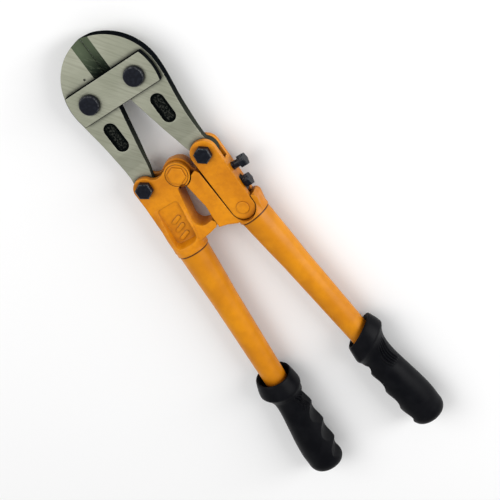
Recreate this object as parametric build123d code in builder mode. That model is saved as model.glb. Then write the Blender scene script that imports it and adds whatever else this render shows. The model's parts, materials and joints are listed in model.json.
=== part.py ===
from build123d import *
from math import atan2, cos, degrees, radians, sin, sqrt
import os

# Compound-action bolt cutters, closed and lying on their back.  Millimetres, +Z up, +Y towards the jaw
# tips, +X towards the adjustable handle.  The origin is under the middle of the whole tool, on the surface
# that it lies on.

os.makedirs("parts", exist_ok=True)

# ---- driving dimensions: layout -------------------------------------------------------------------------
length = 350.0  # jaw tips to grip ends
rest_height = 14.5  # the tool's middle plane above the surface that it lies on
jaw_reach = 36.8  # jaw pivots to jaw tips
jaw_pivot_half = 18.0  # jaw pivot to the centre line
tang_drop = 65.9  # jaw pivots back to the tang bolts
tang_half = 23.9  # tang bolt to the centre line
centre_drop = 3.0  # tang bolts back to the centre bolt
rivet_drop = 43.8  # tang bolts back to the yoke rivet
rivet_half = 24.0  # yoke rivet to the centre line
mouth_drop = 119.2  # jaw pivots back to the tube mouths
mouth_half = 25.3  # tube mouth centre to the centre line
handle_angle = 5.2  # splay of each handle from the centre line, degrees

# ---- driving dimensions: pieces -------------------------------------------------------------------------
jaw_half_width = 33.5
jaw_radius = 37.3  # outer arc of each jaw
jaw_thickness = 8.0
tang_thickness = 6.0
edge_gap = 0.15  # each cutting edge to the centre line when closed
edge_land = 0.6  # blunt width left on each cutting edge
bevel_width = 6.6
left_tang_radius = 7.0
right_tang_radius = 8.8
pill_width = 9.6
pill_length = 21.4
pill_depth = 0.7
strap_inset = 1.5  # strap ends to the jaws' outline
strap_width = 22.6
strap_thickness = 4.0
jaw_bolt_radius = 4.5
jaw_head_radius = 6.7
jaw_head_height = 3.4
jaw_head_round = 1.3
jaw_nut_across = 14.0
nut_corner = 0.6  # rounding or chamfer of every nut
head_chamfer = 0.7
strap_chamfer = 0.35
casting_thickness = 15.0
ear_radius = 7.8  # round the left tang bolt
centre_ear_radius = 8.8
tongue_ear_radius = 10.2  # the right casting's ear, between the left casting's two
tang_bolt_radius = 3.25
tang_head_across = 10.4
tang_head_height = 4.2
nut_height = 4.6
centre_head_across = 11.0
centre_head_height = 1.0
ring_land = 0.9  # casting left round the centre bolt's corners, inside a shallow ring
ring_width = 0.6
ring_depth = 0.4
centre_bolt_radius = 4.0
yoke_top_radius = 8.9
yoke_foot_radius = 8.3
yoke_web_thickness = 3.6
rivet_radius = 3.0
rivet_head_radius = 4.3
rivet_head_height = 0.7
rivet_round = 0.4
jack_screw_drop = 18.6  # tang bolts back to the jack screw
lock_screw_drop = 31.4  # tang bolts back to the lock screw
screw_radius = 2.6
screw_head_across = 8.0
screw_head_height = 4.6
screw_chamfer = 0.5
tube_mouth_radius = 10.8
tube_swage = 42.0  # the tube narrows quickly down to here, then tapers evenly
tube_neck_radius = 9.3
tube_end_radius = 7.0
tube_wall = 1.6
spigot_length = 26.0
grip_length = 82.0
grip_end_wall = 7.6  # rubber past the end of the tube
grip_end_reach = 9.0  # grip's end section, towards the centre line
grip_end_shift = -0.4  # its middle, away from the handle's axis
grip_end_depth = 7.6  # half its depth
casting_body_depth = 21.0  # thickness of the left casting just above its tube
seam_land = 2.2  # round collar of each casting at its tube's mouth
collar_step = 0.7  # each casting's collar stands proud of its tube
panel_slope = 3.6  # the left casting's panels deepen towards the tube, degrees
panel_top = 15.0  # centre bolt back to where they start
panel_step = 0.6  # their depth there
panel_draft = 24  # lean of their walls, degrees
panel_corner = 2.4

# ---- clearances -----------------------------------------------------------------------------------------
pin_clearance = 0.05  # radial, every pivot
face_clearance = 0.2  # between flat faces that slide on each other
bolt_recess = 0.5  # bolt ends stop this far inside their nuts
stop_gap = 0.3  # the left casting's closing stop to the right casting
plate_gap = 0.6  # round the foot of the yoke's plates
tilt_gap = 1.5  # extra room beside the yoke's plates, which tilt about the rivet
pocket_top_gap = 1.3  # the pocket is wider at the top, where the yoke moves most
web_gap = 1.6  # right casting's tongue to the yoke's web
screw_gap = 0.8  # adjusting screws' tips to the tongue
ear_room = 1.2  # round an ear that turns inside a fork
left_tang_room = 1.6
right_tang_room = 0.8
open_clearance = 0.3  # pieces that move past each other without touching
linkage_slack = 2.6  # how far the right tang bolt wanders in its slot as the handles open
tilt_slack = 0.65  # how far the yoke's adjustment moves the right tang bolt, each way
swing_rise = 0.2  # how far it leaves the line across the tang

# ---- derived places -------------------------------------------------------------------------------------
jaw_y = length / 2 - jaw_reach
tang_y = jaw_y - tang_drop
centre_y = tang_y - centre_drop
rivet_y = tang_y - rivet_drop
mouth_y = jaw_y - mouth_drop
jaw_half = jaw_thickness / 2
tang_part_half = tang_thickness / 2
cast_half = casting_thickness / 2
fork_half = tang_part_half + face_clearance  # half the gap between two ears or two yoke plates
strap_inner = jaw_half + face_clearance
strap_outer = strap_inner + strap_thickness
strap_half_length = jaw_half_width - strap_inset
tilt = radians(handle_angle)
handle_run = (mouth_y + length / 2 - grip_end_reach * sin(tilt)) / cos(tilt)  # tube mouth to grip end
grip_start = handle_run - grip_length
tube_length = handle_run - grip_end_wall
past = 5.0  # how far a cutting profile runs past what it cuts
sides = {"left": -1, "right": 1}
middle = Plane.XY.offset(rest_height)


def level(height):
    """The plane parallel to the middle plane, height in front of it."""
    return Plane.XY.offset(rest_height + height)


def across(side, distance):
    """A plane across a handle, distance along it from the tube's mouth, local X away from the centre line."""
    along = Vector(side * sin(tilt), -cos(tilt), 0)
    mouth = Vector(side * mouth_half, mouth_y, rest_height)
    return Plane(origin=mouth + along * distance, x_dir=(side * cos(tilt), sin(tilt), 0), z_dir=along)


def tube_radius(distance):
    """Outer radius of a tube past its swage, distance along it from its mouth."""
    taper = (tube_end_radius - tube_neck_radius) / (tube_length - tube_swage)
    return tube_neck_radius + taper * (distance - tube_swage)


def placed(side, points, y=0.0):
    """Right-hand outline points put on one side of the tool, y added to each."""
    return [(side * px, py + y) for px, py in points]


def hexagon(across_flats, turn=0):
    """Adds a hexagon to the sketch that is open."""
    return RegularPolygon(across_flats / 2, 6, major_radius=False, rotation=turn)


# ---- blades ---------------------------------------------------------------------------------------------
jaw_arc_x = jaw_half_width - jaw_radius
jaw_arc_y = jaw_y + jaw_reach - sqrt(jaw_radius**2 - (edge_gap - jaw_arc_x) ** 2)
heel_y = jaw_y + 8.5  # where the cutting edge ends, under the strap
pill_x = 19.2
pill_y = jaw_y - 27.7
taper_y = pill_y - pill_length / 2 - 1.0  # where the blade starts to thin towards its tang
taper_end_y = taper_y - 12.0
pit_radius = 0.8
pit_depth = 0.6
for name, side in sides.items():
    tang_radius = left_tang_radius if side < 0 else right_tang_radius
    with BuildPart() as blade:
        with BuildSketch(level(-jaw_half)):
            with BuildLine():
                tip = (side * edge_gap, jaw_y + jaw_reach)
                shoulder = (side * jaw_half_width, jaw_arc_y)
                bend = radians(40)
                on_arc = (side * (jaw_arc_x + jaw_radius * cos(bend)), jaw_arc_y + jaw_radius * sin(bend))
                waist = (side * (tang_half + 5.2), tang_y + 10)
                ThreePointArc(tip, on_arc, shoulder)
                Spline(shoulder, (side * (tang_half + 6.9), tang_y + 40), waist, tangents=[(0, -1), (0, -1)])
                Polyline(
                    waist,
                    (side * (tang_half + 6.4), tang_y + 2),
                    (side * tang_half, tang_y - 1),
                    (side * (tang_half - 6.6), tang_y + 1),
                    (side * (tang_half - 9.5), tang_y + 9.5),
                    (side * 4.8, jaw_y - 12),
                    (side * edge_gap, heel_y),
                    tip,
                )
            make_face()
            with Locations((side * tang_half, tang_y)):
                Circle(tang_radius)
        extrude(amount=jaw_thickness)
        # the faces run down to the thinner tang behind the strap
        with BuildSketch(Plane.YZ.offset(-jaw_half_width - past)):
            with BuildLine():
                Polyline(
                    (jaw_y + jaw_reach + past, rest_height + jaw_half),
                    (taper_y, rest_height + jaw_half),
                    (taper_end_y, rest_height + tang_part_half),
                    (tang_y - right_tang_radius - past, rest_height + tang_part_half),
                    (tang_y - right_tang_radius - past, rest_height - tang_part_half),
                    (taper_end_y, rest_height - tang_part_half),
                    (taper_y, rest_height - jaw_half),
                    (jaw_y + jaw_reach + past, rest_height - jaw_half),
                    close=True,
                )
            make_face()
        extrude(amount=2 * (jaw_half_width + past), mode=Mode.INTERSECT)
        # two bevels meet at the cutting edge
        for face in (-1, 1):
            with BuildSketch(Plane.XZ.offset(-heel_y)):
                with BuildLine():
                    Polyline(
                        (side * (edge_gap - 1), rest_height + face * edge_land / 2),
                        (side * edge_gap, rest_height + face * edge_land / 2),
                        (side * bevel_width, rest_height + face * jaw_half),
                        (side * bevel_width, rest_height + face * (jaw_half + 1)),
                        (side * (edge_gap - 1), rest_height + face * (jaw_half + 1)),
                        close=True,
                    )
                make_face()
            extrude(amount=-jaw_reach, mode=Mode.SUBTRACT)
        # shallow recess on both faces of the arm
        for face in (-1, 1):
            with BuildSketch(level(face * (jaw_half - pill_depth))):
                with Locations((side * pill_x, pill_y)):
                    SlotOverall(pill_length, pill_width, rotation=90)
            extrude(amount=face * (pill_depth + 1), mode=Mode.SUBTRACT)
        if side < 0:
            # hardness test pit
            with BuildSketch(level(jaw_half - pit_depth)):
                with Locations((-12.5, jaw_y + 14)):
                    Circle(pit_radius)
            extrude(amount=2 * pit_depth, mode=Mode.SUBTRACT)
        with BuildSketch(middle):
            with Locations((side * jaw_pivot_half, jaw_y)):
                Circle(jaw_bolt_radius + pin_clearance)
            if side < 0:
                with Locations((side * tang_half, tang_y)):
                    Circle(tang_bolt_radius + pin_clearance)
            else:
                # the linkage is open here: the bolt has room to wander across the tang
                wander = linkage_slack + 2 * tilt_slack
                with Locations((tang_half + wander / 2 - tilt_slack, tang_y)):
                    SlotCenterToCenter(wander, 2 * (tang_bolt_radius + open_clearance + swing_rise))
        extrude(amount=jaw_thickness, both=True, mode=Mode.SUBTRACT)
    blade.part.label = f"blade_{name}"
    export_step(blade.part, f"parts/blade_{name}.step")

# ---- straps and jaw bolts -------------------------------------------------------------------------------
for name, face in {"front": 1, "rear": -1}.items():
    with BuildPart() as strap:
        with BuildSketch(level(face * strap_inner)):
            with BuildLine():
                corner_x = strap_half_length - 1.6
                corner_y = strap_width / 2
                bottom = Line((-corner_x, jaw_y - corner_y), (corner_x, jaw_y - corner_y))
                ThreePointArc(bottom @ 1, (strap_half_length, jaw_y - 1), (corner_x - 0.4, jaw_y + corner_y))
                top = Line((corner_x - 0.4, jaw_y + corner_y), (0.4 - corner_x, jaw_y + corner_y))
                ThreePointArc(top @ 1, (-strap_half_length, jaw_y - 1), bottom @ 0)
            make_face()
            with Locations((-jaw_pivot_half, jaw_y), (jaw_pivot_half, jaw_y)):
                Circle(jaw_bolt_radius + pin_clearance, mode=Mode.SUBTRACT)
        extrude(amount=face * strap_thickness)
        outer_face = strap.faces().sort_by(lambda f: face * f.center().Z)[-1]
        chamfer(outer_face.outer_wire().edges(), strap_chamfer)
    strap.part.label = f"strap_{name}"
    export_step(strap.part, f"parts/strap_{name}.step")

for name, side in sides.items():
    centre = (side * jaw_pivot_half, jaw_y)
    with BuildPart() as jaw_bolt:
        with BuildSketch(level(strap_outer)):
            with Locations(centre):
                Circle(jaw_head_radius)
        extrude(amount=jaw_head_height)
        fillet(jaw_bolt.faces().sort_by(Axis.Z)[-1].edges(), jaw_head_round)
        with BuildSketch(Plane.XY.offset(bolt_recess)):
            with Locations(centre):
                Circle(jaw_bolt_radius)
        extrude(amount=rest_height + strap_outer - bolt_recess)
    jaw_bolt.part.label = f"jaw_bolt_{name}"
    export_step(jaw_bolt.part, f"parts/jaw_bolt_{name}.step")

    with BuildPart() as jaw_nut:
        with BuildSketch():
            with Locations(centre):
                hexagon(jaw_nut_across, 12 * side)
                Circle(jaw_bolt_radius + pin_clearance, mode=Mode.SUBTRACT)
        extrude(amount=rest_height - strap_outer)
        fillet(jaw_nut.edges().filter_by(Axis.Z), nut_corner)
    jaw_nut.part.label = f"jaw_nut_{name}"
    export_step(jaw_nut.part, f"parts/jaw_nut_{name}.step")


# ---- hexagon bolts through the castings -----------------------------------------------------------------
def through_bolt(label, x, y, shank, across_flats, head, turn):
    """A hexagon bolt from the castings' front face, its nut behind, each in its own node."""
    with BuildPart() as bolt:
        with BuildSketch(level(cast_half)):
            with Locations((x, y)):
                hexagon(across_flats, turn)
        extrude(amount=head)
        chamfer(bolt.faces().sort_by(Axis.Z)[-1].edges(), min(head_chamfer, head / 3))
        with BuildSketch(level(-cast_half - nut_height + bolt_recess)):
            with Locations((x, y)):
                Circle(shank)
        extrude(amount=casting_thickness + nut_height - bolt_recess)
    bolt.part.label = f"{label}_bolt"
    export_step(bolt.part, f"parts/{label}_bolt.step")
    with BuildPart() as nut:
        with BuildSketch(level(-cast_half)):
            with Locations((x, y)):
                hexagon(across_flats, -turn)
                Circle(shank + pin_clearance, mode=Mode.SUBTRACT)
        extrude(amount=-nut_height)
        chamfer(nut.faces().sort_by(Axis.Z)[0].outer_wire().edges(), nut_corner)
    nut.part.label = f"{label}_nut"
    export_step(nut.part, f"parts/{label}_nut.step")


through_bolt("tang_left", -tang_half, tang_y, tang_bolt_radius, tang_head_across, tang_head_height, 27)
through_bolt("tang_right", tang_half, tang_y, tang_bolt_radius, tang_head_across, tang_head_height, 24)
through_bolt("centre", 0, centre_y, centre_bolt_radius, centre_head_across, centre_head_height, 24)

# ---- left handle casting --------------------------------------------------------------------------------
stop_x = 2.6  # face of the right casting that the stop meets
bar_height = 0.7
with BuildPart() as left_casting:
    with BuildSketch(level(-cast_half)):
        with BuildLine():
            outline = placed(-1, [
                (tang_half + ear_radius, 3.0),
                (tang_half + ear_radius, -8.0),
                (tang_half + ear_radius + 1.2, -31.0),
                (mouth_half + tube_mouth_radius - 1.6, -46.0),
                (15.5, -46.0),
                (8.5, -45.2),
                (4.5, -44.6),
                (1.0, -43.6),
            ], centre_y)
            start = Polyline(*outline)
            nose = ThreePointArc(start @ 1, (stop_x - stop_gap, centre_y - 40.4), (0.6, centre_y - 37.8))
            lip = Line(nose @ 1, (-4.0, centre_y - 38.4))
            throat = ThreePointArc(lip @ 1, (-8.6, centre_y - 36.2), (-10.2, centre_y - 30.5))
            wall = Line(throat @ 1, (-5.4, centre_y - 9.6))
            crown = ThreePointArc(wall @ 1, (-3.8, centre_y - 7.2), (-1.6, centre_y - 6.6))
            Polyline(crown @ 1, (0, centre_y), (-tang_half, tang_y), start @ 0)
        make_face()
        with Locations((0, centre_y)):
            Circle(centre_ear_radius)
        with Locations((-tang_half, tang_y)):
            Circle(ear_radius)
        # concave saddle between the two ears
        with BuildLine():
            dip = (-12.6, centre_y + 4.9)
            saddle = ThreePointArc((-18.6, centre_y + 8.3), dip, (-6.2, centre_y + 6.9))
            Polyline(saddle @ 1, (0, centre_y), (-tang_half, tang_y), saddle @ 0)
        make_face()
        # the window's crown cuts into the foot of the ear
        with Locations((-1.5, centre_y - 10.1)):
            Circle(3.4, mode=Mode.SUBTRACT)
    extrude(amount=casting_thickness)
    # the body swells towards the tube and ends in a round collar
    sections = [
        (-37.0, casting_thickness, 2.0, 2 * tube_mouth_radius + 3.6, -2.6),
        (-24.0, (casting_thickness + casting_body_depth) / 2, 3.0, 2 * tube_mouth_radius + 1.2, -1.7),
        (-10.0, casting_body_depth, 6.0, 2 * tube_mouth_radius + 1.0, -0.9),
    ]
    for distance, depth, corner, width, shift in sections:
        with BuildSketch(across(-1, distance)):
            with Locations((shift, 0)):
                RectangleRounded(width, depth, corner)
    with BuildSketch(across(-1, -seam_land)):
        Circle(tube_mouth_radius + collar_step)
    loft()
    with BuildSketch(across(-1, -seam_land)):
        Circle(tube_mouth_radius + collar_step)
    extrude(amount=seam_land)
    # panels on both faces, deepest at the tube, with plain bars on the front one
    slope = radians(panel_slope)
    for face in (-1, 1):
        panel = Plane(
            origin=(0, centre_y - panel_top, rest_height + face * (cast_half - panel_step)),
            x_dir=(1, 0, 0),
            z_dir=(0, -sin(slope), face * cos(slope)),
        )
        with BuildSketch(panel):
            with BuildLine():
                Polyline(*[(px, face * py) for px, py in placed(-1, [
                    (26.4, 1.0),
                    (27.4, -14.0),
                    (29.2, -26.2),
                    (15.0, -26.6),
                    (13.4, -14.0),
                    (10.2, 1.0),
                ])], close=True)
            make_face()
            fillet(vertices(), panel_corner)
        extrude(amount=casting_body_depth, mode=Mode.SUBTRACT, taper=-panel_draft)
    with BuildSketch(panel):
        with Locations((-19.4, -10.5), (-20.4, -16.5), (-21.4, -22.5)):
            SlotOverall(8.0, 2.6, rotation=20)
    extrude(amount=bar_height)
    # fork for the left tang and for the right casting's ear
    with BuildSketch(level(-fork_half)):
        with Locations((-tang_half, tang_y)):
            Circle(left_tang_radius + left_tang_room)
        with Locations((0, centre_y)):
            Circle(tongue_ear_radius + ear_room)
        with BuildLine():
            Polyline(
                (-tang_half - 20, tang_y + 20),
                (-tang_half - 20, tang_y - 3),
                (-tang_half, tang_y - 3),
                (0, centre_y - 3),
                (20, centre_y - 3),
                (20, tang_y + 20),
                close=True,
            )
        make_face()
    extrude(amount=2 * fork_half, mode=Mode.SUBTRACT)
    with BuildSketch(level(-cast_half)):
        with Locations((0, centre_y)):
            Circle(centre_bolt_radius + pin_clearance)
        with Locations((-tang_half, tang_y)):
            Circle(tang_bolt_radius + pin_clearance)
    extrude(amount=casting_thickness, mode=Mode.SUBTRACT)
    # shallow ring round the centre bolt's head
    ring_radius = centre_head_across / sqrt(3) + ring_land
    with BuildSketch(level(cast_half - ring_depth)):
        with Locations((0, centre_y)):
            Circle(ring_radius + ring_width)
            Circle(ring_radius, mode=Mode.SUBTRACT)
    extrude(amount=2 * ring_depth, mode=Mode.SUBTRACT)
    # spigot inside the tube
    with BuildSketch(across(-1, -1)):
        Circle(tube_mouth_radius - tube_wall - pin_clearance)
    extrude(amount=spigot_length + 1)
left_casting.part.label = "left_casting"
export_step(left_casting.part, "parts/left_casting.step")

# ---- right handle casting -------------------------------------------------------------------------------
shoulder_radius = centre_ear_radius + 0.8  # the arm's shoulder round the left casting's ears
tongue_edge = tang_half + yoke_top_radius - yoke_web_thickness - web_gap
with BuildPart() as right_casting:
    # full-thickness arm and body
    with BuildSketch(level(-cast_half)):
        with BuildLine():
            Polyline(*placed(1, [
                (1.2, -7.5),
                (3.6, -28.0),
                (stop_x, -38.0),
                (stop_x, -44.4),
                (8.5, -45.8),
                (15.0, -48.6),
                (mouth_half + 9.0, -48.6),
                (mouth_half + tube_mouth_radius - 0.8, -44.0),
                (36.1, -39.6),
                (35.2, -37.4),
                (33.2, -36.4),
                (32.0, -36.4),
                (12.0, -3.4),
            ], centre_y), close=True)
        make_face()
        with Locations((0, centre_y)):
            Circle(shoulder_radius, mode=Mode.SUBTRACT)
        # pocket for the yoke's plates
        with BuildLine():
            foot = yoke_foot_radius + plate_gap
            foot_arc = ThreePointArc(
                (rivet_half - foot, rivet_y), (rivet_half, rivet_y - foot), (rivet_half + foot, rivet_y))
            Polyline(
                foot_arc @ 1,
                (rivet_half + foot + tilt_gap, tang_y + 12),
                (tang_half - yoke_top_radius - pocket_top_gap, tang_y + 12),
                (tang_half - yoke_top_radius - pocket_top_gap, tang_y - 9),
                foot_arc @ 0,
            )
        make_face(mode=Mode.SUBTRACT)
    extrude(amount=casting_thickness)
    # round collar at the tube's mouth
    with BuildSketch(across(1, -13.0)):
        RectangleRounded(2 * tube_mouth_radius + 0.2, casting_thickness, 4.0)
    with BuildSketch(across(1, -seam_land)):
        Circle(tube_mouth_radius + collar_step)
    loft()
    with BuildSketch(across(1, -seam_land)):
        Circle(tube_mouth_radius + collar_step)
    extrude(amount=seam_land)
    # nothing stands in front of or behind the yoke's foot
    for face in (-1, 1):
        with BuildSketch(level(face * fork_half)):
            with Locations((rivet_half, rivet_y)):
                Circle(yoke_foot_radius + plate_gap)
            with Locations((rivet_half, rivet_y + 10)):
                Rectangle(2 * (yoke_foot_radius + plate_gap), 20)
        extrude(amount=face * casting_body_depth, mode=Mode.SUBTRACT)
    # thin tongue between the yoke's plates, and the ear at the centre bolt
    with BuildSketch(level(-tang_part_half)):
        with BuildLine():
            Polyline(*placed(1, [
                (5.0, 5.0),
                (9.6, -1.0),
                (15.4, -8.4),
                (tongue_edge, -8.4),
                (tongue_edge, -34.0),
                (32.0, -40.0),
                (32.0, -48.0),
                (8.0, -46.0),
                (5.0, -30.0),
                (1.2, -7.5),
            ], centre_y), close=True)
        make_face()
        with Locations((0, centre_y)):
            Circle(tongue_ear_radius)
        # room for the right tang
        with Locations((tang_half, tang_y)):
            Circle(right_tang_radius + right_tang_room, mode=Mode.SUBTRACT)
    extrude(amount=tang_thickness)
    # holes for the centre bolt and the rivet
    with BuildSketch(level(-cast_half - past)):
        with Locations((0, centre_y)):
            Circle(centre_bolt_radius + pin_clearance)
        with Locations((rivet_half, rivet_y)):
            Circle(rivet_radius + pin_clearance)
    extrude(amount=casting_thickness + 2 * past, mode=Mode.SUBTRACT)
    # spigot inside the tube
    with BuildSketch(across(1, -1)):
        Circle(tube_mouth_radius - tube_wall - pin_clearance)
    extrude(amount=spigot_length + 1)
right_casting.part.label = "right_casting"
export_step(right_casting.part, "parts/right_casting.step")

# ---- adjusting yoke, its rivet and screws ---------------------------------------------------------------
web_top = tang_y - 10.5
web_inner = tang_half + yoke_top_radius - yoke_web_thickness
yoke_edge = tang_half + yoke_top_radius
block_half = 5.35  # half the lock block's length along the yoke
block_edge = yoke_edge - 0.7
jack_y = tang_y - jack_screw_drop
lock_y = tang_y - lock_screw_drop
with BuildPart() as yoke:
    with BuildSketch(level(-cast_half)):
        with BuildLine():
            lean = degrees(atan2(tang_half - rivet_half, tang_y - rivet_y))
            top_arc = CenterArc((tang_half, tang_y), yoke_top_radius, -lean, 180)
            foot_arc = CenterArc((rivet_half, rivet_y), yoke_foot_radius, 180 - lean, 180)
            Line(top_arc @ 1, foot_arc @ 0)
            Line(foot_arc @ 1, top_arc @ 0)
        make_face()
    extrude(amount=casting_thickness)
    # open between the plates, except for the web on the outer side
    with BuildSketch(level(-fork_half)):
        with BuildLine():
            Polyline(
                (0, tang_y + yoke_top_radius + past),
                (yoke_edge + past, tang_y + yoke_top_radius + past),
                (yoke_edge + past, web_top),
                (web_inner, web_top),
                (web_inner, lock_y + block_half),
                (yoke_edge + past, lock_y + block_half),
                (yoke_edge + past, rivet_y - yoke_foot_radius - past),
                (0, rivet_y - yoke_foot_radius - past),
                close=True,
            )
        make_face()
    extrude(amount=2 * fork_half, mode=Mode.SUBTRACT)
    with BuildSketch(level(-cast_half)):
        with Locations((tang_half, tang_y)):
            Circle(tang_bolt_radius + pin_clearance)
        with Locations((rivet_half, rivet_y)):
            Circle(rivet_radius + pin_clearance)
    extrude(amount=casting_thickness, mode=Mode.SUBTRACT)
    with BuildSketch(Plane.YZ.offset(web_inner - 1)):
        with Locations((jack_y, rest_height)):
            Circle(screw_radius + pin_clearance)
    extrude(amount=yoke_web_thickness + 2, mode=Mode.SUBTRACT)
yoke.part.label = "adjusting_yoke"
export_step(yoke.part, "parts/adjusting_yoke.step")

# black block between the plates, which carries the lock screw
with BuildPart() as lock_block:
    with BuildSketch(level(-fork_half)):
        with Locations(((web_inner + block_edge) / 2, lock_y)):
            Rectangle(block_edge - web_inner, 2 * block_half)
    extrude(amount=2 * fork_half)
    with BuildSketch(Plane.YZ.offset(web_inner - 1)):
        with Locations((lock_y, rest_height)):
            Circle(screw_radius + pin_clearance)
    extrude(amount=yoke_web_thickness + 2, mode=Mode.SUBTRACT)
lock_block.part.label = "lock_block"
export_step(lock_block.part, "parts/lock_block.step")

with BuildPart() as rivet:
    with BuildSketch(level(-cast_half)):
        with Locations((rivet_half, rivet_y)):
            Circle(rivet_radius)
    extrude(amount=casting_thickness)
    for face in (-1, 1):
        with BuildSketch(level(face * cast_half)):
            with Locations((rivet_half, rivet_y)):
                Circle(rivet_head_radius)
        extrude(amount=face * rivet_head_height)
    heads = rivet.faces().sort_by(Axis.Z)
    fillet(heads[0].edges() + heads[-1].edges(), rivet_round)
rivet.part.label = "yoke_rivet"
export_step(rivet.part, "parts/yoke_rivet.step")

screw_tip = tongue_edge + screw_gap
screws = {
    "jack_screw": (jack_y, yoke_edge + 5.4),
    "lock_screw": (lock_y, block_edge + 1.0),
}
for name, (screw_y, head_x) in screws.items():
    with BuildPart() as screw:
        with BuildSketch(Plane.YZ.offset(screw_tip)):
            with Locations((screw_y, rest_height)):
                Circle(screw_radius)
        extrude(amount=head_x - screw_tip)
        with BuildSketch(Plane.YZ.offset(head_x)):
            with Locations((screw_y, rest_height)):
                hexagon(screw_head_across, 15)
        extrude(amount=screw_head_height)
        chamfer(screw.faces().sort_by(Axis.X)[-1].edges(), screw_chamfer)
    screw.part.label = name
    export_step(screw.part, f"parts/{name}.step")

# ---- tubes ----------------------------------------------------------------------------------------------
bore = tube_mouth_radius - tube_wall
lip_radius = bore + tube_wall / 2  # outside, at the end of the spigot
for name, side in sides.items():
    base = across(side, 0)
    turned = Plane(origin=base.origin, x_dir=base.x_dir, z_dir=base.y_dir)
    with BuildPart() as tube:
        with BuildSketch(turned):
            with BuildLine():
                Polyline(
                    (bore, 0),
                    (tube_mouth_radius, 0),
                    (lip_radius, -spigot_length),
                    (tube_neck_radius, -tube_swage),
                    (tube_end_radius, -tube_length),
                    (tube_end_radius - tube_wall, -tube_length),
                    (tube_neck_radius - tube_wall, -tube_swage),
                    (bore, -spigot_length),
                    close=True,
                )
            make_face()
        revolve(axis=Axis(base.origin, base.z_dir))
    tube.part.label = f"tube_{name}"
    export_step(tube.part, f"parts/tube_{name}.step")

# ---- grips ----------------------------------------------------------------------------------------------
# distance past the collar's edge; rubber over the tube on the outer side, the inner side and each face
collar_rim = 9.5
collar_face = rest_height - tube_radius(grip_start + collar_rim)  # the collars rest on the surface
grip_sections = [
    (0.0, 2.2, 2.2, 2.2),
    (collar_rim, 7.5, 6.4, collar_face),
    (15.5, 4.5, 5.4, 4.0),
    (22.0, 2.5, 3.3, 3.2),
    (30.0, 3.2, 5.6, 4.1),
    (37.5, 4.1, 4.0, 4.4),
    (45.0, 5.0, 6.1, 4.9),
    (53.5, 5.7, 4.5, 5.3),
    (62.0, 6.1, 6.1, 5.5),
    (70.0, 6.0, 4.8, 5.3),
    (76.0, 4.8, 5.0, 4.5),
]
bore_radius = tube_radius(tube_length) + pin_clearance
for name, side in sides.items():
    with BuildPart() as grip:
        for distance, outer, inner, face in grip_sections:
            around = tube_radius(grip_start + distance)
            with BuildSketch(across(side, grip_start + distance)):
                with Locations(((outer - inner) / 2, 0)):
                    Ellipse(around + (outer + inner) / 2, around + face)
        with BuildSketch(across(side, handle_run)):
            with Locations((grip_end_shift, 0)):
                Ellipse(grip_end_reach + grip_end_shift, grip_end_depth)
        loft(ruled=True)
        with BuildSketch(across(side, grip_start - 1)):
            Circle(tube_radius(grip_start - 1) + pin_clearance)
        with BuildSketch(across(side, tube_length)):
            Circle(bore_radius)
        loft(mode=Mode.SUBTRACT)
    grip.part.label = f"grip_{name}"
    export_step(grip.part, f"parts/grip_{name}.step")
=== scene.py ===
"""Looks for the bolt cutters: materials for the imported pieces, moulded grips, light, floor and camera."""

import json
from math import cos, pi, radians, sin

import bpy
import numpy as np
from mathutils import Matrix, Vector


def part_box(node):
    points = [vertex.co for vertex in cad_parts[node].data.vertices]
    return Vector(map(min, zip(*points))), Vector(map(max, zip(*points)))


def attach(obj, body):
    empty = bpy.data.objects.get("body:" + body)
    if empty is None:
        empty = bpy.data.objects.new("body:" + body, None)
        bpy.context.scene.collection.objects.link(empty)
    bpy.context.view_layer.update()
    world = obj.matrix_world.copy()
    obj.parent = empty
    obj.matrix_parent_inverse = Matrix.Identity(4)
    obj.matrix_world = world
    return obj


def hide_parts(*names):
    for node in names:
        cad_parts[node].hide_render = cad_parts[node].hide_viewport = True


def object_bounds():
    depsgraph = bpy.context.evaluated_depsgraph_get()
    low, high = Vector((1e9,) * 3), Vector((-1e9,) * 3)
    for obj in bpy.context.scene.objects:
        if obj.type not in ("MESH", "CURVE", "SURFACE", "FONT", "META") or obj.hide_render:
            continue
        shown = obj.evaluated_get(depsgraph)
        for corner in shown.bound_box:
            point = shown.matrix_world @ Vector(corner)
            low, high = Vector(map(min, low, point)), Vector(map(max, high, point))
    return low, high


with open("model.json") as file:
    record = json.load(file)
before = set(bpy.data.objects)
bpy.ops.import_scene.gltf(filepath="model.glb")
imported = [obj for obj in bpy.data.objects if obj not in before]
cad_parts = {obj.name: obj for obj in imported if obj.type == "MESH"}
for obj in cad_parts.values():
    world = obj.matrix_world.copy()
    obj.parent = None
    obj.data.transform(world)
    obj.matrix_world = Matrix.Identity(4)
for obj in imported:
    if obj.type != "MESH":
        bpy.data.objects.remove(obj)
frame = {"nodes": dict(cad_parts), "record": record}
cad_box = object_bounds()
nodes = frame["nodes"]
joints = {joint["name"]: joint for joint in frame["record"]["behaviour"]["joints"]}
MM = 0.001

# ---- places from the frame ------------------------------------------------------------------------------
middle = joints["handles"]["pos_m"][2]  # height of the tool's middle plane
blade_low, blade_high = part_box("blade_left")
strap_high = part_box("strap_front")[1]
jaw_y = joints["left_jaw"]["pos_m"][1]
jaw_half = (blade_high.z - blade_low.z) / 2

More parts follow.
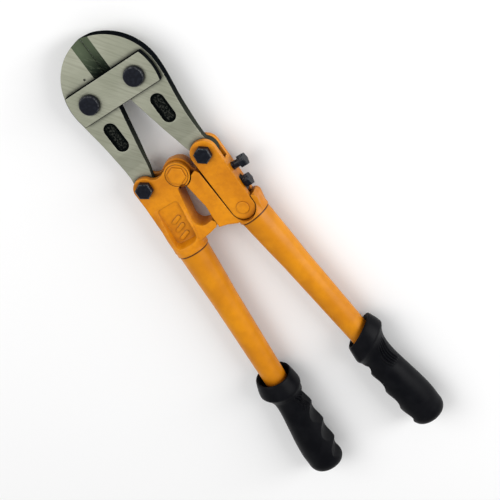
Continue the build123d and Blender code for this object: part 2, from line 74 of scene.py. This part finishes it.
# ---- sizes ----------------------------------------------------------------------------------------------
HANDLE_ANGLE = radians(5.2)
MOUTH = Vector((25.3, 19.0)) * MM  # right tube's mouth, in plan
SWAGE = 42.0  # the tubes taper evenly from here, mm along the handle
NECK_RADIUS = 9.3
END_RADIUS = 7.0
TUBE_LENGTH = 186.38
GRIP_END = 193.96  # along the handle from the tube's mouth, mm
PILL_DROP = 27.7 * MM  # jaw pivots back to the recess in each blade
PILL_X = 19.2 * MM
PILL_LENGTH = 21.4 * MM
PILL_WIDTH = 9.6 * MM
PILL_SINK = (0.05 * MM, 0.15 * MM)  # below the face, where its black starts and where it is full
PILL_MARGIN = (0.3 * MM, 0.1 * MM)  # the same, past its outline
PILL_RIM = (1.6 * MM, 2.6 * MM)  # the speckle starts and is full this far inside its outline
ARM_DARK = (65 * MM, 10 * MM)  # behind the jaw pivots, where the side walls start to darken and end
BEVEL_SHADE = 20 * MM  # the bevels darken over this, down to the strap: a painted shadow of the strap
MILL_CENTRE = (22 * MM, 44 * MM)  # of the arcs on the straps, from the middle of the jaw pivots
SEAM = (1.5 * MM, 0.7 * MM)  # dark line at a tube's mouth: where it starts, and where it is full


# ---- node materials -------------------------------------------------------------------------------------
class Finish:
    """A procedural material, built one node at a time in the object's own coordinates."""

    def __init__(self, name):
        self.material = bpy.data.materials.new(name)
        self.material.use_nodes = True
        self.tree = self.material.node_tree
        self.shader = self.tree.nodes["Principled BSDF"]
        coordinates = self.add("ShaderNodeTexCoord")
        self.place = coordinates.outputs["Object"]
        self.facing = coordinates.outputs["Normal"]

    def add(self, kind, inputs=None, **settings):
        node = self.tree.nodes.new(kind)
        for key, value in settings.items():
            setattr(node, key, value)
        for key, value in (inputs or {}).items():
            self.put(node.inputs[key], value)
        return node

    def put(self, socket, value):
        if isinstance(value, bpy.types.NodeSocket):
            self.tree.links.new(value, socket)
        else:
            socket.default_value = value

    def math(self, operation, first, second=0.0):
        return self.add("ShaderNodeMath", {0: first, 1: second}, operation=operation).outputs[0]

    def step(self, value, start, end):
        """0 at start, 1 at end, smooth between them."""
        inputs = {"Value": value, "From Min": start, "From Max": end}
        return self.add("ShaderNodeMapRange", inputs, interpolation_type="SMOOTHSTEP").outputs["Result"]

    def spread(self, value, low, high):
        """A value from 0 to 1 spread between low and high."""
        inputs = {"Value": value, "To Min": low, "To Max": high}
        return self.add("ShaderNodeMapRange", inputs).outputs["Result"]

    def both(self, *masks):
        result = masks[0]
        for mask in masks[1:]:
            result = self.math("MULTIPLY", result, mask)
        return result

    def noise(self, scale, detail=3.0, stretch=(1, 1, 1), turn=0.0):
        turned = self.add("ShaderNodeMapping", {"Vector": self.place, "Rotation": (0, 0, turn)})
        mapped = self.add("ShaderNodeMapping", {"Vector": turned.outputs[0], "Scale": stretch})
        inputs = {"Vector": mapped.outputs[0], "Scale": scale, "Detail": detail}
        return self.add("ShaderNodeTexNoise", inputs).outputs["Fac"]

    def mix(self, share, first, second):
        node = self.add("ShaderNodeMix", data_type="RGBA")
        self.put(node.inputs[0], share)
        for socket, colour in ((node.inputs[6], first), (node.inputs[7], second)):
            self.put(socket, (*colour, 1) if isinstance(colour, tuple) else colour)
        return node.outputs[2]

    def axis(self, vector, index):
        return self.add("ShaderNodeSeparateXYZ", {0: vector}).outputs[index]

    def edges(self, radius):
        """The rounded normal at edges, and a mask of where it differs from the plain one."""
        rounded = self.add("ShaderNodeBevel", {"Radius": radius}, samples=6).outputs[0]
        plain = self.add("ShaderNodeNewGeometry").outputs["Normal"]
        same = self.add("ShaderNodeVectorMath", {0: rounded, 1: plain}, operation="DOT_PRODUCT")
        return rounded, self.step(same.outputs["Value"], 0.995, 0.85)

    def gaps(self, distance, start=0.72, end=0.18):
        """Mask for painted shade: 1 deep in gaps, 0 in the open."""
        open_share = self.add("ShaderNodeAmbientOcclusion", {"Distance": distance}, samples=8).outputs["AO"]
        return self.step(open_share, start, end)

    def bump(self, height, depth, normal=None, strength=1.0):
        inputs = {"Height": height, "Distance": depth, "Strength": strength}
        node = self.add("ShaderNodeBump", inputs)
        if normal is not None:
            self.put(node.inputs["Normal"], normal)
        return node.outputs[0]

    def finish(self, colour, roughness, normal, **fixed):
        self.put(self.shader.inputs["Base Color"], colour)
        self.put(self.shader.inputs["Roughness"], roughness)
        self.put(self.shader.inputs["Normal"], normal)
        for key, value in fixed.items():
            self.shader.inputs[key.replace("_", " ").title().replace("Ior", "IOR")].default_value = value
        return self.material


def enamel(name, grain, grain_depth, bright, deep, is_tube=False):
    """Orange-yellow enamel with painted shade, reddish brown, in the gaps, paler on the edges as a painted
    highlight, and chipped on the edges.
    """
    f = Finish(name)
    rounded, edge = f.edges(1.4 * MM)
    cloud = f.step(f.noise(45, 4), 0.35, 0.65)
    colour = f.mix(cloud, deep, bright)
    # painted highlight: paler enamel on the rounded edges
    colour = f.mix(f.math("MULTIPLY", edge, 0.25), colour, (0.92, 0.40, 0.015))
    hollow = f.step(f.noise(grain * 2, 3), 0.62, 0.36)
    colour = f.mix(f.math("MULTIPLY", hollow, 0.16), colour, (0.30, 0.080, 0.001))
    # painted shade: reddish brown enamel in wide gaps and hollows between parts
    soft_painted_shade = f.gaps(13 * MM, 0.96, 0.32)
    colour = f.mix(f.math("MULTIPLY", soft_painted_shade, 0.72), colour, (0.24, 0.055, 0.002))
    if is_tube:
        beside = f.math("MULTIPLY", f.math("ABSOLUTE", f.axis(f.place, 0)), sin(HANDLE_ANGLE))
        down = f.math("MULTIPLY", f.axis(f.place, 1), cos(HANDLE_ANGLE))
        at_mouth = MOUTH.x * sin(HANDLE_ANGLE) - MOUTH.y * cos(HANDLE_ANGLE)
        along = f.math("SUBTRACT", f.math("SUBTRACT", beside, down), at_mouth)
        colour = f.mix(f.step(along, *SEAM), colour, (0.05, 0.010, 0.002))
    # painted shade: near-black enamel deep in narrow gaps
    painted_shade = f.gaps(3.5 * MM, 0.70, 0.20)
    colour = f.mix(f.math("MULTIPLY", painted_shade, 0.95), colour, (0.06, 0.009, 0.002))
    chips = f.both(edge, f.step(f.noise(1400, 5), 0.66, 0.72))
    colour = f.mix(chips, colour, (0.10, 0.07, 0.05))
    speck = f.step(f.noise(2600, 2), 0.74, 0.79)
    colour = f.mix(f.math("MULTIPLY", speck, 0.35), colour, (0.30, 0.10, 0.01))
    roughness = f.spread(f.noise(260, 4), 0.30, 0.52)
    normal = f.bump(f.noise(grain, 4), grain_depth, rounded)
    normal = f.bump(f.noise(1900, 2), 0.012 * MM, normal)
    return f.finish(colour, roughness, normal, coat_weight=0.06, coat_roughness=0.20, specular_ior_level=0.20)


def ground_steel(name, is_blade):
    """Satin steel, ground on the flat faces and dark on the side walls, darker towards the jaw head."""
    f = Finish(name)
    rounded, edge = f.edges(0.5 * MM)
    x, y, z = (f.axis(f.place, index) for index in range(3))
    lie = f.math("ABSOLUTE", f.axis(f.facing, 2))
    flat = f.step(lie, 0.90, 0.97)
    scratches = f.noise(900, 4, (0.05, 1, 1), radians(52))
    fine = f.noise(3200, 2, (0.03, 1, 1), radians(47))
    cloud = f.step(f.noise(38, 3), 0.3, 0.7)
    colour = f.mix(cloud, (0.295, 0.305, 0.230), (0.360, 0.365, 0.285))
    colour = f.mix(f.math("MULTIPLY", f.step(scratches, 0.42, 0.7), 0.35), colour, (0.185, 0.190, 0.140))
    in_head = f.step(y, jaw_y - ARM_DARK[0], jaw_y - ARM_DARK[1])
    wall = f.mix(in_head, (0.040, 0.044, 0.034), (0.004, 0.005, 0.006))
    if is_blade:
        reach = f.math("ABSOLUTE", x)
        stripe = f.both(f.step(lie, 0.955, 0.93), f.step(lie, 0.75, 0.82))
        # painted shadow of the strap: the bevels darken towards it
        strap_shadow = f.step(y, strap_high.y + BEVEL_SHADE, strap_high.y)
        bevel = f.mix(strap_shadow, (0.078, 0.100, 0.062), (0.008, 0.012, 0.009))
        bevel = f.mix(f.math("MULTIPLY", f.step(scratches, 0.5, 0.7), 0.4), bevel, (0.115, 0.135, 0.090))
        colour = f.mix(flat, wall, colour)
        colour = f.mix(stripe, colour, bevel)
        # black recess in each face of the arm
        height = f.math("ABSOLUTE", f.math("SUBTRACT", z, middle))
        sunk = f.step(height, jaw_half - PILL_SINK[0], jaw_half - PILL_SINK[1])
        along = f.math("ABSOLUTE", f.math("SUBTRACT", y, jaw_y - PILL_DROP))
        beside = f.math("ABSOLUTE", f.math("SUBTRACT", reach, PILL_X))
        in_length = f.step(along, PILL_LENGTH / 2 + PILL_MARGIN[0], PILL_LENGTH / 2 + PILL_MARGIN[1])
        in_width = f.step(beside, PILL_WIDTH / 2 + PILL_MARGIN[0], PILL_WIDTH / 2 + PILL_MARGIN[1])
        pill = f.both(sunk, in_length, in_width)
        worn = f.step(f.noise(1300, 3, (1, 0.6, 1)), 0.46, 0.62)
        inside = f.both(f.step(along, PILL_LENGTH / 2 - PILL_RIM[0], PILL_LENGTH / 2 - PILL_RIM[1]),
                        f.step(beside, PILL_WIDTH / 2 - PILL_RIM[0], PILL_WIDTH / 2 - PILL_RIM[1]))
        black = f.mix(f.both(worn, inside), (0.002, 0.003, 0.003), (0.032, 0.034, 0.029))
        colour = f.mix(pill, colour, black)
        dark = f.math("MAXIMUM", pill, stripe)
        shine = f.math("SUBTRACT", 1.0, dark)
    else:
        colour = f.mix(flat, wall, colour)
        shine = 1.0
    # painted highlight: paler steel along the edges of the flat faces
    painted_edge_highlight = f.both(edge, flat, shine)
    colour = f.mix(f.math("MULTIPLY", painted_edge_highlight, 0.35), colour, (0.50, 0.50, 0.43))
    # painted shade: near-black steel in gaps and where parts meet
    painted_shade = f.gaps(5 * MM, 0.84, 0.40)
    colour = f.mix(f.math("MULTIPLY", painted_shade, 0.97), colour, (0.004, 0.005, 0.004))
    metal = f.math("MULTIPLY", f.math("MULTIPLY", flat, 0.7), shine)
    f.put(f.shader.inputs["Specular IOR Level"], f.spread(f.math("MULTIPLY", flat, shine), 0.0, 0.5))
    f.put(f.shader.inputs["Metallic"], metal)
    roughness = f.spread(f.math("MULTIPLY", flat, scratches), 0.40, 0.52)
    normal = f.bump(scratches, 0.03 * MM, rounded)
    normal = f.bump(fine, 0.015 * MM, normal)
    if not is_blade:
        # faint arcs left by a face mill
        location = (MILL_CENTRE[0], MILL_CENTRE[1] - jaw_y, 0)
        centre = f.add("ShaderNodeMapping", {"Vector": f.place, "Location": location})
        rings = f.add("ShaderNodeTexWave", {"Vector": centre.outputs[0], "Scale": 190, "Distortion": 0.8},
                      wave_type="RINGS", rings_direction="Z")
        normal = f.bump(rings.outputs["Fac"], 0.02 * MM, normal)
    return f.finish(colour, roughness, normal)


def black_oxide(name):
    """Blue-black oxide on bolts and screws, worn grey on the edges: partly real wear, partly a painted
    highlight.
    """
    f = Finish(name)
    rounded, edge = f.edges(0.45 * MM)
    colour = f.mix(f.step(f.noise(500, 4), 0.4, 0.7), (0.003, 0.004, 0.008), (0.008, 0.010, 0.016))
    lie = f.math("ABSOLUTE", f.axis(f.facing, 2))
    # grey patches on the edges and on the sloping head rims: partly real wear, partly a painted highlight
    rim_highlight = f.both(f.step(lie, 0.97, 0.85), f.step(lie, 0.20, 0.45))
    worn = f.both(f.math("MAXIMUM", edge, rim_highlight), f.step(f.noise(900, 4), 0.38, 0.62))
    colour = f.mix(f.math("MULTIPLY", worn, 0.40), colour, (0.14, 0.145, 0.15))
    roughness = f.spread(f.noise(700, 4), 0.24, 0.46)
    normal = f.bump(f.noise(1300, 4), 0.03 * MM, rounded)
    return f.finish(colour, roughness, normal, metallic=0.05, specular_ior_level=0.14)


def grip_rubber(name):
    """Black moulded rubber with a fine stipple and a soft sheen."""
    f = Finish(name)
    colour = f.mix(f.step(f.noise(120, 4), 0.35, 0.7), (0.0012, 0.0014, 0.0026), (0.0034, 0.0036, 0.0050))
    dust = f.step(f.noise(1500, 4), 0.63, 0.74)
    colour = f.mix(f.math("MULTIPLY", dust, 0.10), colour, (0.03, 0.032, 0.034))
    roughness = f.spread(f.noise(240, 4), 0.36, 0.50)
    pores = f.add("ShaderNodeTexVoronoi", {"Vector": f.place, "Scale": 1700}).outputs["Distance"]
    normal = f.bump(pores, 0.02 * MM, strength=0.6)
    return f.finish(colour, roughness, normal, specular_ior_level=0.08)


def studio_floor(name):
    f = Finish(name)
    colour = f.mix(f.noise(3, 2), (0.88, 0.88, 0.88), (0.90, 0.90, 0.90))
    return f.finish(colour, f.spread(f.noise(5, 2), 0.75, 0.85), f.bump(f.noise(600, 2), 0.01 * MM))


cast_paint = enamel("cast_enamel", 170, 0.34 * MM, (0.70, 0.250, 0.002), (0.56, 0.185, 0.001))
tube_paint = enamel("tube_enamel", 60, 0.10 * MM, (0.65, 0.240, 0.001), (0.57, 0.200, 0.001), is_tube=True)
blade_steel = ground_steel("blade_steel", True)
strap_steel = ground_steel("strap_steel", False)
oxide = black_oxide("bolt_oxide")
rubber = grip_rubber("grip_rubber")

finishes = {
    cast_paint: ["left_casting", "right_casting", "adjusting_yoke", "yoke_rivet", "centre_bolt",
                 "centre_nut"],
    tube_paint: ["tube_left", "tube_right"],
    blade_steel: ["blade_left", "blade_right"],
    strap_steel: ["strap_front", "strap_rear"],
    oxide: ["jaw_bolt_left", "jaw_bolt_right", "jaw_nut_left", "jaw_nut_right", "tang_left_bolt",
            "tang_left_nut", "tang_right_bolt", "tang_right_nut", "lock_block", "jack_screw", "lock_screw"],
}
for finish, names in finishes.items():
    for name in names:
        nodes[name].data.materials.clear()
        nodes[name].data.materials.append(finish)


# ---- grips ----------------------------------------------------------------------------------------------
AROUND = 256  # points round a grip
CURVE_STEPS = 14  # rows to each span of its curve
END_STEPS = 26  # rows round its end
TUBE_CLEARANCE = 0.05
CUP_FLOOR = 114.5  # inside the collar's cup, along the handle
CUP_STEP = 0.5
WAVE_PITCH = 16.6  # finger waves, mm
FIRST_CREST = 140.6
SCOOP_DEPTH = 4.2
SCOOP_START = 126.0
SCOOP_RISE = 5.0
SCOOP_FALL = 8.0
SCOOP_END_GAP = 3.0  # from the last of the scoops to the grip's end
SCOOP_POWER = 0.85  # lower makes the crests sharper
SCOOP_BLEND = 0.25
BODY_END = 183.0  # where the end starts to round
END_SHAPE = 2.6
RIB_PITCH = 1.75
RIB_HEIGHT = 1.3
RIB_MIDDLE = 133.0
RIB_HALF = 7.0
RIB_FADE = 1.0
RIB_BOW = 1.6
RIB_WIDTH = 0.5
RIB_ANGLE = {1: radians(36), -1: radians(144)}  # on each grip's +X side


def tube_radius(distance):
    return NECK_RADIUS + (END_RADIUS - NECK_RADIUS) * (distance - SWAGE) / (TUBE_LENGTH - SWAGE)


def through(points, steps):
    """A smooth curve of rows through the points, steps rows to each span."""
    rows = np.array(points, float)
    padded = np.vstack([rows[0], rows, rows[-1]])
    curve = []
    for i in range(len(rows) - 1):
        before, start, end, after = padded[i:i + 4]
        for t in np.linspace(0, 1, steps, endpoint=False):
            linear = (end - before) * t
            square = (2 * before - 5 * start + 4 * end - after) * t**2
            cube = (3 * start - before - 3 * end + after) * t**3
            curve.append(0.5 * (2 * start + linear + square + cube))
    curve.append(rows[-1])
    return curve


def scoops(distance):
    """Depth of the finger scoops: none at the sharp crests, all of it half way between them."""
    rise = np.clip((distance - SCOOP_START) / SCOOP_RISE, 0, 1)
    fade = rise * np.clip((GRIP_END - SCOOP_END_GAP - distance) / SCOOP_FALL, 0, 1)
    return SCOOP_DEPTH * fade * abs(sin(pi * (distance - FIRST_CREST) / WAVE_PITCH)) ** SCOOP_POWER


def ribs(distance, angle, radius, centre):
    """Height of the curved ribs below the collar, round the angle centre."""
    height = np.zeros_like(angle)
    along = distance - RIB_MIDDLE
    if abs(along) > RIB_HALF + RIB_FADE:
        return height
    window = np.clip((RIB_HALF + RIB_FADE - abs(along)) / (2 * RIB_FADE), 0, 1)
    across = (angle - centre) * radius
    for rib in range(-2, 3):
        line = rib * RIB_PITCH + RIB_BOW * (1 - (along / RIB_HALF) ** 2)
        height = np.maximum(height, RIB_HEIGHT * window * np.exp(-((across - line) / RIB_WIDTH) ** 2))
    return height


def grip_rows():
    """Rows of: distance along the handle, collar's lean, reach outward, reach inward, half depth."""
    depth = middle / MM  # the collar touches the surface
    collar = [
        (CUP_FLOOR, 5.0, 10.4, 10.4, 10.4),
        (CUP_FLOOR - 3.4, 5.2, 11.0, 10.9, 10.9),
        (110.2, 5.4, 11.6, 11.3, 11.4),
        (109.3, 5.5, 12.3, 11.9, 12.0),
        (110.0, 5.6, 13.4, 12.8, 12.8),
        (114.6, 6.0, 14.9, 13.7, 13.8),
        (119.2, 6.3, 15.9, 14.4, depth),
        (121.0, 6.2, 15.6, 14.3, 14.3),
        (123.6, 5.4, 13.2, 13.4, 12.8),
        (127.0, 4.0, 11.0, 12.9, 11.4),
        (132.0, 2.0, 10.0, 12.9, 10.7),
        (139.5, 0.0, 10.2, 13.4, 10.8),
        (151.5, 0.0, 11.4, 13.7, 11.5),
        (163.5, 0.0, 12.7, 13.9, 12.0),
        (174.5, 0.0, 13.3, 13.8, 12.2),
        (BODY_END, 0.0, 12.8, 13.3, 11.9),
    ]
    rows = through(collar, CURVE_STEPS)
    last = collar[-1]
    for turn in np.linspace(0, pi / 2, END_STEPS)[1:]:
        grown = sin(turn) ** (2 / END_SHAPE)
        shrunk = max(cos(turn), 1e-4) ** (2 / END_SHAPE)
        rows.append(np.array([BODY_END + (GRIP_END - BODY_END) * grown, 0, *(r * shrunk for r in last[2:])]))
    return rows


def grip(name, side, lean_turn, lean_share):
    """A moulded grip on one tube: cup, flared collar, neck, finger scoops and rounded end."""
    angle = np.linspace(0, 2 * pi, AROUND, endpoint=False)
    is_outward = np.cos(angle) >= 0
    rings = []
    bore = tube_radius(TUBE_LENGTH) + TUBE_CLEARANCE
    rings.append((np.full(AROUND, TUBE_LENGTH), bore * np.cos(angle), bore * np.sin(angle)))
    collar_lean = lean_share * np.cos(angle - lean_turn)
    mouth = grip_rows()[0]
    mouth_along = mouth[0] + CUP_STEP - mouth[1] * collar_lean
    mouth_radius = tube_radius(mouth_along) + TUBE_CLEARANCE
    rings.append((mouth_along, mouth_radius * np.cos(angle), mouth_radius * np.sin(angle)))
    for distance, lean, outward, inward, depth in grip_rows():
        reach = np.where(is_outward, outward, inward)
        lateral = reach * np.cos(angle)
        limit = -(inward - scoops(distance))
        scooped = (lateral + limit + np.sqrt((lateral - limit) ** 2 + SCOOP_BLEND**2)) / 2
        lateral = np.where(is_outward, lateral, scooped)
        height = depth * np.sin(angle)
        wrapped = np.where(angle > 3 * pi / 2, angle - 2 * pi, angle)
        raised = ribs(distance, wrapped, outward, RIB_ANGLE[side])
        lateral = lateral + raised * np.cos(angle)
        height = height + raised * np.sin(angle)
        rings.append((distance - lean * collar_lean, lateral, height))
    out = Vector((side * cos(HANDLE_ANGLE), sin(HANDLE_ANGLE)))
    down = Vector((side * sin(HANDLE_ANGLE), -cos(HANDLE_ANGLE)))
    points = []
    for along, lateral, height in rings:
        for s, t, h in zip(along, lateral, height):
            place = Vector((side * MOUTH.x, MOUTH.y)) + (down * s + out * t) * MM
            points.append((place.x, place.y, middle + h * MM))
    faces = []
    for ring in range(len(rings) - 1):
        for i in range(AROUND):
            j = (i + 1) % AROUND
            quad = [ring * AROUND + i, ring * AROUND + j, (ring + 1) * AROUND + j, (ring + 1) * AROUND + i]
            faces.append(quad[::-1] if side > 0 else quad)
    first = list(range(AROUND))
    final = list(range((len(rings) - 1) * AROUND, len(rings) * AROUND))
    faces.append(first if side > 0 else first[::-1])
    faces.append(final[::-1] if side > 0 else final)
    mesh = bpy.data.meshes.new(name)
    mesh.from_pydata(points, [], faces)
    mesh.validate()
    mesh.polygons.foreach_set("use_smooth", [len(p.vertices) == 4 for p in mesh.polygons])
    mesh.materials.append(rubber)
    piece = bpy.data.objects.new(name, mesh)
    bpy.context.scene.collection.objects.link(piece)
    return piece


for name, side, lean_turn, lean_share, body in (
    ("moulded_grip_left", -1, radians(-55), 0.5, "handle_left"),
    ("moulded_grip_right", 1, 0.0, 1.0, "handle_right"),
):
    piece = grip(name, side, lean_turn, lean_share)
    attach(piece, body)
    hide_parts("grip_left" if side < 0 else "grip_right")

# ---- floor, light and camera ----------------------------------------------------------------------------
FLOOR_HALF = 3.0
ROOM_LIGHT = 0.55
CAMERA_PLACE = (0.3238, 0.2545, 0.7635)
CAMERA_ANGLE = radians(22)

floor_mesh = bpy.data.meshes.new("floor")
corners = [(x * FLOOR_HALF, y * FLOOR_HALF, 0) for x, y in ((-1, -1), (1, -1), (1, 1), (-1, 1))]
floor_mesh.from_pydata(corners, [], [(0, 1, 2, 3)])
floor_mesh.materials.append(studio_floor("floor"))
floor = bpy.data.objects.new("floor", floor_mesh)
floor.location.z = cad_box[0][2]
bpy.context.scene.collection.objects.link(floor)


def softbox(name, place, size, power):
    light = bpy.data.lights.new(name, "AREA")
    light.shape = "RECTANGLE"
    light.size, light.size_y = size
    light.energy = power
    lamp = bpy.data.objects.new(name, light)
    lamp.location = place
    lamp.rotation_euler = (Vector((0, 0, 0)) - Vector(place)).to_track_quat("-Z", "Y").to_euler()
    bpy.context.scene.collection.objects.link(lamp)


softbox("key", (-0.55, 0.75, 1.20), (1.2, 1.2), 11)
softbox("side", (1.0, -0.1, 0.55), (0.4, 1.0), 9)

world = bpy.data.worlds.new("studio")
world.use_nodes = True
world.node_tree.nodes["Background"].inputs["Color"].default_value = (1, 1, 1, 1)
world.node_tree.nodes["Background"].inputs["Strength"].default_value = ROOM_LIGHT
scene = bpy.context.scene
scene.world = world
scene.view_settings.view_transform = "Standard"

view_right = Vector((0.8081, -0.5705, -0.1466))
view_back = Vector((0.3716, 0.3006, 0.8784))
camera_data = bpy.data.cameras.new("camera")
camera_data.angle = CAMERA_ANGLE
camera = bpy.data.objects.new("camera", camera_data)
view_up = view_back.cross(view_right).normalized()
turn = Matrix((view_right, view_up, view_back)).transposed().to_4x4()
camera.matrix_world = Matrix.Translation(CAMERA_PLACE) @ turn
scene.collection.objects.link(camera)
scene.camera = camera
